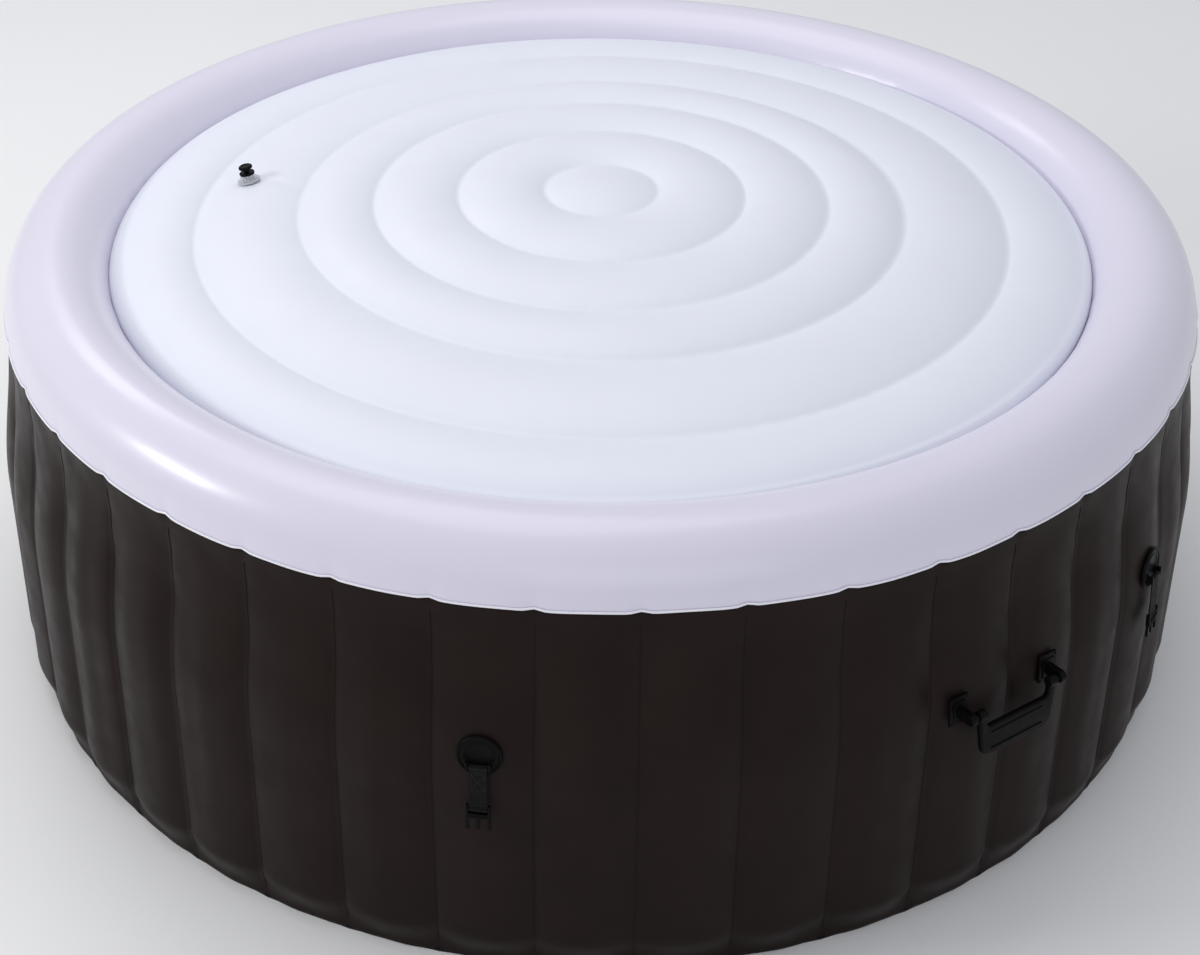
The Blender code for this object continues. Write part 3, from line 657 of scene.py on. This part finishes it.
def stitch_shape(bm):
    """The sewn box and its cross on the front ply, and a row at each eye, as short raised threads."""
    half, top, bottom, rise = 0.0085, -0.0095, -0.0330, 0.00165
    corners = [(-half, top), (half, top), (half, bottom), (-half, bottom)]
    runs = list(zip(corners, corners[1:] + corners[:1]))
    runs += [(corners[0], corners[2]), (corners[1], corners[3])]
    runs += [((-half, -0.0070), (half, -0.0070)), ((-half, -0.0555), (half, -0.0555))]
    for start, end in runs:
        start, end = Vector((*start, rise)), Vector((*end, rise))
        count = max(3, round((end - start).length / 0.0028))
        for i in range(count):
            low, high = start.lerp(end, (i + 0.15) / count), start.lerp(end, (i + 0.80) / count)
            turn = (high - low).to_track_quat("X", "Z").to_matrix().to_4x4()
            reach = (high - low).length / 2
            place = Matrix.Translation((low + high) / 2) @ turn @ Matrix.Diagonal((reach, 0.0003, 0.0003, 1))
            bmesh.ops.create_icosphere(bm, subdivisions=1, radius=1, matrix=place)


def buckle_shape(bm):
    """A side-release plug: a frame with a bar, two sprung arms with hooked tips, and a guide tongue."""
    half, bar = 0.0150, -STRAP_DROP
    add_box(bm, (-half, bar - 0.0130, -0.0030), (half, bar - 0.0060, 0.0030), 0.0011)
    add_rod(bm, 0.0014, (-half + 0.001, bar, 0), (half - 0.001, bar, 0))
    for side in (-1, 1):
        low, high = sorted((side * half, side * (half - 0.0027)))
        add_box(bm, (low, bar - 0.0080, -0.0030), (high, bar + 0.0062, 0.0030), 0.0008)
        bow = [half - 0.0026 + 0.0016 * math.sin(math.pi * i / 12) for i in range(13)]
        line = [Vector((side * x, bar - 0.011 - 0.0195 * i / 12)) for i, x in enumerate(bow)]
        wide = 0.0019

        def arm(share):
            reach = wide * (1 + 0.9 * math.exp(-((share - 0.86) / 0.10) ** 2))
            reach = reach * (1 - 0.6 * max(0, share - 0.9) / 0.1)
            return [(-wide, -0.0017), (reach, -0.0017), (reach, 0.0017), (-wide, 0.0017)]

        add_sweep(bm, line, lambda share, s=side: [(-a * s, o) for a, o in arm(share)])
    add_box(bm, (-0.0023, bar - 0.0300, -0.0015), (0.0023, bar - 0.0120, 0.0015), 0.0006)
    for i in range(3):
        level = bar - 0.0078 - 0.0018 * i
        add_box(bm, (-half + 0.004, level - 0.0004, 0.0026), (half - 0.004, level + 0.0004, 0.0034), 0.0002)


def build_straps():
    for number, along in enumerate(BUCKLE_STATIONS, start=1):
        wall, hinge = station(along, STRAP_Z), station(along, STRAP_Z, BAR_OUT)
        strap = f"strap_{number}"
        patch = [f"buckle_patch_{number}"]
        fitting(f"strap_patch_{number}", patch_shape, BLACK, "tub", wall, patch)
        band = [f"buckle_webbing_{number}"]
        fitting(f"strap_webbing_{number}", webbing_shape, WEBBING, strap, hinge, band)
        fitting(f"strap_stitches_{number}", stitch_shape, THREAD, strap, hinge)
        plug = [f"buckle_plug_{number}"]
        fitting(f"strap_buckle_{number}", buckle_shape, BLACK, strap, hinge, plug)


# Carry handles
HANDLE_HALF, HANDLE_DROP, HANDLE_OUT, GRIP_RADIUS, PIN_RADIUS = 0.066, 0.058, 0.0240, 0.0065, 0.0040
GRIP_TOP, GRIP_TAPER, GRIP_THICK = -0.020, 0.006, 0.009


def corner_points(centre, radius, start, end, steps=10):
    """Points round a corner, from one angle in degrees to another."""
    angles = [math.radians(start + (end - start) * i / steps) for i in range(steps + 1)]
    return [(centre[0] + radius * math.cos(a), centre[1] + radius * math.sin(a)) for a in angles]


def add_plate(bm, outline, low, high, bevel):
    """A flat plate with rounded rims, from an outline in XY, between two heights."""
    other = bmesh.new()
    base = other.faces.new([other.verts.new((*point, low)) for point in outline])
    raised = bmesh.ops.extrude_face_region(other, geom=[base])["geom"]
    top = [item for item in raised if isinstance(item, bmesh.types.BMVert)]
    bmesh.ops.translate(other, vec=(0, 0, high - low), verts=top)
    rims = [edge for edge in other.edges if abs(edge.verts[0].co.z - edge.verts[1].co.z) < 0.000001]
    bmesh.ops.bevel(other, geom=rims, offset=bevel, segments=4, profile=0.5, affect="EDGES")
    merge(bm, other)


def grip_outline():
    """The broad bail seen from outside: two short arms, and a deep bar that narrows to its foot."""
    leg, fillet, corner = HANDLE_HALF - GRIP_RADIUS, 0.007, 0.016
    outer, inner = leg + GRIP_RADIUS, leg - GRIP_RADIUS
    foot, low = outer - GRIP_TAPER, -HANDLE_DROP - GRIP_RADIUS
    right = corner_points((inner - fillet, GRIP_TOP + fillet), fillet, -90, 0)
    right += [(inner, 0), (outer, 0)]
    right += corner_points((foot - corner, low + corner), corner, 0, -90)
    return right + [(-x, y) for x, y in reversed(right)]


def grip_shape(bm):
    add_plate(bm, grip_outline(), -GRIP_THICK / 2, GRIP_THICK / 2, 0.0026)
    half = HANDLE_HALF - GRIP_RADIUS
    for side in (-1, 1):
        near, far = side * (half - 0.0064), side * (half + 0.0064)
        add_rod(bm, GRIP_RADIUS + 0.0008, (near, 0, 0), (far, 0, 0), 0.0012)
        add_rod(bm, PIN_RADIUS, (side * half, 0, 0), (side * (HANDLE_HALF + 0.0138), 0, 0))
    for level in (-0.030, -0.055):
        add_rod(bm, 0.0016, (-0.044, level, GRIP_THICK / 2), (0.044, level, GRIP_THICK / 2), 0.0012)


def anchor_shape(side):
    centre = side * (HANDLE_HALF + 0.010)

    def build(bm):
        add_box(bm, (centre - 0.015, -0.0200, -0.0030), (centre + 0.015, 0.0220, 0.0018), 0.0022)
        add_box(bm, (centre - 0.0095, -0.0135, 0.0008), (centre + 0.0095, 0.0150, 0.0034), 0.0012)
        add_box(bm, (centre - 0.0045, -0.0078, 0.0010), (centre + 0.0045, 0.0078, HANDLE_OUT + 0.0010), 0.0010)
        add_rod(bm, 0.0080, (centre - 0.0047, 0, HANDLE_OUT), (centre + 0.0047, 0, HANDLE_OUT), 0.0012)
        for x in (-0.0120, 0.0120):
            for y in (-0.0165, 0.0180):
                add_rod(bm, 0.0018, (centre + x, y, 0.001), (centre + x, y, 0.0028), 0.0007)

    return build


def build_handles():
    for number, along in enumerate(HANDLE_STATIONS, start=1):
        wall = station(along, STRAP_Z)
        for side, tag in ((-1, "left"), (1, "right")):
            name = f"handle_{number}_plate_{tag}"
            node = [f"handle_{number}_anchor_{tag}"]
            fitting(name, anchor_shape(side), BLACK, "tub", wall, node)
        hinge = station(along, STRAP_Z, HANDLE_OUT)
        node = [f"handle_{number}_grip"]
        body = f"handle_{number}"
        fitting(f"{body}_bail", grip_shape, BLACK, body, hinge, node, 40)


# Ports, valves and drain
PIPE_RADIUS, PIPE_BORE, PORT_FLANGE = 0.0190, 0.0160, 0.0360
DRAIN_Z, OUTLET_Z, INLET_Z, AIR_PORT_Z, AIR_VALVE_Z = 0.085, 0.165, 0.265, 0.365, 0.400


def turned_shape(profile, closed=True, ease=0.0005):
    return lambda bm: add_turned(bm, profile, closed=closed, ease=ease)


def cap_shape(low, neck, top):
    """A screw cap with a ribbed skirt and a raised bar across its face."""
    seal_high, wall = low + 0.0025, neck + 0.0010
    skirt = wall + 0.0055

    def build(bm):
        outline = [(0, top + 0.0032), (wall * 0.75, top + 0.0032), (wall * 0.80, top + 0.0040)]
        outline += [(wall + 0.0030, top + 0.0040), (skirt - 0.0008, top + 0.0018)]
        outline += [(skirt - 0.0008, seal_high + 0.0004)]
        outline += [(wall, seal_high + 0.0004), (wall, top + 0.0012), (0, top + 0.0012)]
        add_turned(bm, outline, closed=False, ease=0.0005)
        ribs = 30
        for i in range(ribs):
            turn = math.tau * i / ribs
            side = Vector((math.cos(turn), math.sin(turn), 0)) * (skirt - 0.0008)
            low_end, high_end = Vector((0, 0, seal_high + 0.0008)), Vector((0, 0, top + 0.0014))
            add_rod(bm, 0.0009, side + low_end, side + high_end, 0.0003)
        add_box(bm, (-wall * 0.8, -0.0021, top + 0.0022), (wall * 0.8, 0.0021, top + 0.0066), 0.0012)

    return build


def build_screw_cap(tag, place, low, neck, top):
    seal = [(neck + 0.0060, low + 0.0025), (neck + 0.0060, low)]
    seal += [(neck + 0.0008, low), (neck + 0.0008, low + 0.0025)]
    shape = turned_shape(seal, ease=0.0006)
    fitting(f"{tag}_gasket", shape, RUBBER, f"{tag}_seal_ring", place, [f"{tag}_seal"])
    shape = cap_shape(low, neck, top)
    fitting(f"{tag}_screw_lid", shape, BLACK, f"{tag}_screw_cap", place, [f"{tag}_cap"])


def flange_rings(outer, level, rise=0.0007):
    """Two low rings that stand on a flange from its edge inward, as profile points towards the middle."""
    points = []
    for reach in (0.0035, 0.0075):
        edge = outer - reach
        points += [(edge + 0.0008, level), (edge + 0.0004, level + rise), (edge - 0.0004, level + rise)]
        points.append((edge - 0.0008, level))
    return points[::-1]


def build_ports():
    for tag, height in (("outlet", OUTLET_Z), ("inlet", INLET_Z)):
        place = station(PORT_STATION, height, tilted=False)
        inner = BASIN_RADIUS * math.cos(PITCH / 2) - crest_at(height)
        body = [(PIPE_BORE, 0.0130), (PIPE_RADIUS + 0.0015, 0.0130), (PIPE_RADIUS + 0.0015, 0.0040)]
        body += flange_rings(PORT_FLANGE, 0.0035)
        body += [(PORT_FLANGE, 0.0035), (PORT_FLANGE, 0.0006)]
        body += [(PIPE_RADIUS, 0.0006), (PIPE_RADIUS, inner - 0.0006)]
        body += [(PORT_FLANGE, inner - 0.0006), (PORT_FLANGE, inner - 0.0040), (PIPE_BORE, inner - 0.0040)]
        shape = turned_shape(body)
        fitting(f"{tag}_pipe", shape, GREY, "tub", place, [f"{tag}_port"])
        build_screw_cap(f"{tag}_port", place, 0.0045, PIPE_RADIUS + 0.0015, 0.0132)
    place = station(PORT_STATION, AIR_PORT_Z)
    body = [(0.0115, 0.0120), (0.0140, 0.0120), (0.0140, 0.0032)] + flange_rings(0.0280, 0.0031)
    body += [(0.0280, 0.0030), (0.0280, 0.0006), (0.0140, 0.0006), (0.0140, -0.0300), (0.0115, -0.0300)]
    fitting("air_port_tube", turned_shape(body), GREY, "tub", place, ["air_port"])
    plug = [(0, 0.0165), (0.0130, 0.0165), (0.0165, 0.0155), (0.0165, 0.0125), (0.0110, 0.0125)]
    plug += [(0.0108, 0.0020), (0, 0.0020)]
    shape = turned_shape(plug, closed=False)
    fitting("air_port_stopper", shape, BLACK, "air_plug", place, ["air_port_plug"])
    place = station(PORT_STATION, DRAIN_Z, tilted=False)
    inner = BASIN_RADIUS * math.cos(PITCH / 2) - crest_at(DRAIN_Z)
    body = [(0.0080, 0.0130), (0.0120, 0.0130), (0.0120, 0.0034)] + flange_rings(0.0260, 0.0033)
    body += [(0.0260, 0.0032), (0.0260, 0.0006), (0.0110, 0.0006)]
    body += [(0.0110, inner - 0.0005), (0.0080, inner - 0.0005)]
    fitting("drain_pipe", turned_shape(body), GREY, "tub", place, ["drain_spigot"])
    build_screw_cap("drain", place, 0.0040, 0.0120, 0.0132)


def build_air_valve():
    place = station(AIR_VALVE_STATION, AIR_VALVE_Z)

    def cup(bm):
        body = [(0.0160, 0.0120), (0.0185, 0.0120), (0.0185, 0.0032)] + flange_rings(0.0320, 0.0031)
        body += [(0.0320, 0.0030), (0.0320, 0.0006), (0.0190, 0.0006), (0.0190, -0.0220), (0.0165, -0.0220)]
        body += [(0.0160, -0.0195)]
        add_turned(bm, body)
        add_turned(bm, [(0.0034, -0.0195), (0.0065, -0.0195), (0.0065, -0.0220), (0.0034, -0.0220)])
        for quarter in range(4):
            turn = Matrix.Rotation(math.pi / 2 * quarter, 4, "Z")
            spoke = bmesh.new()
            add_box(spoke, (0.0060, -0.0018, -0.0218), (0.0170, 0.0018, -0.0197), 0.0004)
            merge(bm, spoke, turn)

    fitting("air_valve_cup", cup, GREY, "tub", place, ["air_valve_body"])
    stem = [(0, 0.0040), (0.0060, 0.0040), (0.0060, 0.0015), (0.0028, 0.0010), (0.0028, -0.0226)]
    stem += [(0.0150, -0.0226), (0.0150, -0.0250), (0, -0.0250)]
    shape = turned_shape(stem, closed=False)
    fitting("air_valve_plunger", shape, BLACK, "air_valve_stem", place, ["air_valve_stem"])
    build_screw_cap("air_valve", place, 0.0038, 0.0185, 0.0122)


def build_cover_valve():
    """The cover's inflation valve: a clear flange and neck, a black stopper and its cap."""
    reach, high = 0.02, COVER_EDGE_Z + COVER_DOME

    def cad_height(radius):
        inner, outer = COVER_GROOVES[3], COVER_GROOVES[4]
        across = (radius - inner) / (outer - inner)
        return high - COVER_DOME * (radius / COVER_RADIUS) ** 2 + 0.010 * 4 * across * (1 - across)

    fall = cad_height(VALVE_RADIUS - reach) - cad_height(VALVE_RADIUS + reach)
    foot = (0, -VALVE_RADIUS, cad_height(VALVE_RADIUS))
    place = Matrix.Rotation(VALVE_ANGLE, 4, "Z") @ Matrix.Translation(foot)
    tilt = Matrix.Rotation(math.atan2(fall, 2 * reach), 4, "X")
    place = place @ tilt @ Matrix.Translation((0, 0, 0.0006))
    flange = [(0.0062, 0.0100), (0.0110, 0.0100), (0.0112, 0.0080), (0.0100, 0.0075), (0.0100, 0.0022)]
    flange += [(0.0120, 0.0012), (0.0174, 0.0010), (0.0174, 0.0)]
    flange += [(0.0075, 0.0), (0.0075, -0.0080), (0.0062, -0.0080)]
    shape = turned_shape(flange, ease=0.0003)
    fitting("cover_valve_neck", shape, CLEAR, "cover", place, ["cover_valve_flange"])
    stopper = [(0.0032, 0.0135), (0.0115, 0.0135), (0.0115, 0.0105), (0.0056, 0.0105), (0.0054, 0.0010)]
    stopper += [(0.0032, 0.0010)]
    shape = turned_shape(stopper, ease=0.0006)
    fitting("cover_valve_plug", shape, BLACK, "cover_stopper", place, ["cover_valve_stopper"])
    cap = [(0, 0.0236), (0.0060, 0.0236), (0.0066, 0.0242)]
    cap += [(0.0088, 0.0240), (0.0105, 0.0225), (0.0105, 0.0200)]
    cap += [(0.0040, 0.0192), (0.0040, 0.0140), (0.0027, 0.0138), (0.0027, 0.0060), (0, 0.0060)]
    shape = turned_shape(cap, closed=False, ease=0.0004)
    fitting("cover_valve_lid", shape, BLACK, "cover_cap", place, ["cover_valve_cap"])


# ---------------------------------------------------------------- view
def build_camera():
    """Looks down at the front from a little above, as the eye of someone standing about 3 m away."""
    distance, height = 2.816, 2.095
    pitch, yaw, roll = 0.5407, 0.0073, 0.0097
    swing = FIRST_GROOVE - math.radians(3.5)
    back = Vector((math.sin(yaw) * math.cos(pitch), -math.cos(yaw) * math.cos(pitch), math.sin(pitch)))
    right = Vector((math.cos(yaw), math.sin(yaw), 0))
    up = back.cross(right)
    axes = Matrix((right, up, back)).transposed() @ Matrix.Rotation(roll, 3, "Z")
    place = Matrix.Translation((0, -distance, height)) @ axes.to_4x4()
    camera = bpy.data.cameras.new("camera")
    camera.sensor_width, camera.sensor_fit, camera.lens = 36, "HORIZONTAL", 63.9
    camera.shift_x, camera.shift_y = 0.0118, -0.1128
    holder = bpy.data.objects.new("camera", camera)
    bpy.context.scene.collection.objects.link(holder)
    holder.matrix_world = Matrix.Rotation(swing, 4, "Z") @ place
    bpy.context.scene.camera = holder


def area_light(name, place, target, size, power, colour=(1, 1, 1)):
    light = bpy.data.lights.new(name, "AREA")
    light.shape = "RECTANGLE"
    light.size, light.size_y = size
    light.energy = power
    light.color = colour
    holder = bpy.data.objects.new(name, light)
    bpy.context.scene.collection.objects.link(holder)
    holder.location = place
    aim = Vector(target) - Vector(place)
    holder.rotation_euler = aim.to_track_quat("-Z", "Y").to_euler()


def build_studio():
    floor = mesh_object("floor", [(-30, -30, 0), (30, -30, 0), (30, 30, 0), (-30, 30, 0)], [(0, 1, 2, 3)])
    floor.location.z = -0.0005
    pale, tree, shader = new_material("pale_floor", (0.93, 0.93, 0.93), 0.9, Specular_IOR_Level=0.1)
    coords = add_node(tree, "ShaderNodeTexCoord").outputs["Object"]
    tint(tree, shader, noise_node(tree, coords, 2), (0.93, 0.93, 0.93), 0.01)
    floor.data.materials.append(pale)
    world = bpy.data.worlds.new("studio")
    world.use_nodes = True
    world.node_tree.nodes["Background"].inputs["Color"].default_value = (0.93, 0.95, 1.0, 1)
    world.node_tree.nodes["Background"].inputs["Strength"].default_value = 0.57
    bpy.context.scene.world = world
    area_light("key", (-3.6, -1.1, 2.2), (0, 0, 0.5), (1.1, 0.5), 38, (1.0, 0.975, 0.95))
    area_light("back_left", (-2.0, 2.3, 3.0), (0, 0, 0.5), (1.3, 0.6), 12)
    area_light("top", (-0.6, 0.6, 4.2), (0, 0, 0.5), (3.0, 3.0), 44)
    area_light("front", (0.5, -3.4, 1.5), (0, 0, 0.5), (2.4, 1.4), 9)
    bpy.context.scene.view_settings.view_transform = "Standard"


def dress_nodes():
    """The carried-over CAD nodes take a material with detail, by their slot."""
    looks = {
        "wall_pvc": WALL, "ring_pvc": RING, "liner_pvc": LINER, "base_pvc": BASE, "web_pvc": WEB,
        "cover_pvc": COVER, "moulded_black": BLACK, "webbing": WEBBING, "clear_pvc": CLEAR,
        "port_grey": GREY, "seal_rubber": RUBBER,
    }
    for entry in frame["record"]["subparts"]:
        node = frame["nodes"].get(entry["node"])
        if node:
            node.data.materials.clear()
            node.data.materials.append(looks[entry["material_slot"]])


build_camera()
build_studio()
dress_nodes()
build_wall()
build_groove_welds()
build_ring()
build_liner()
build_bubble_strip()
build_cover()
build_cover_valve()
build_straps()
build_handles()
build_ports()
build_air_valve()
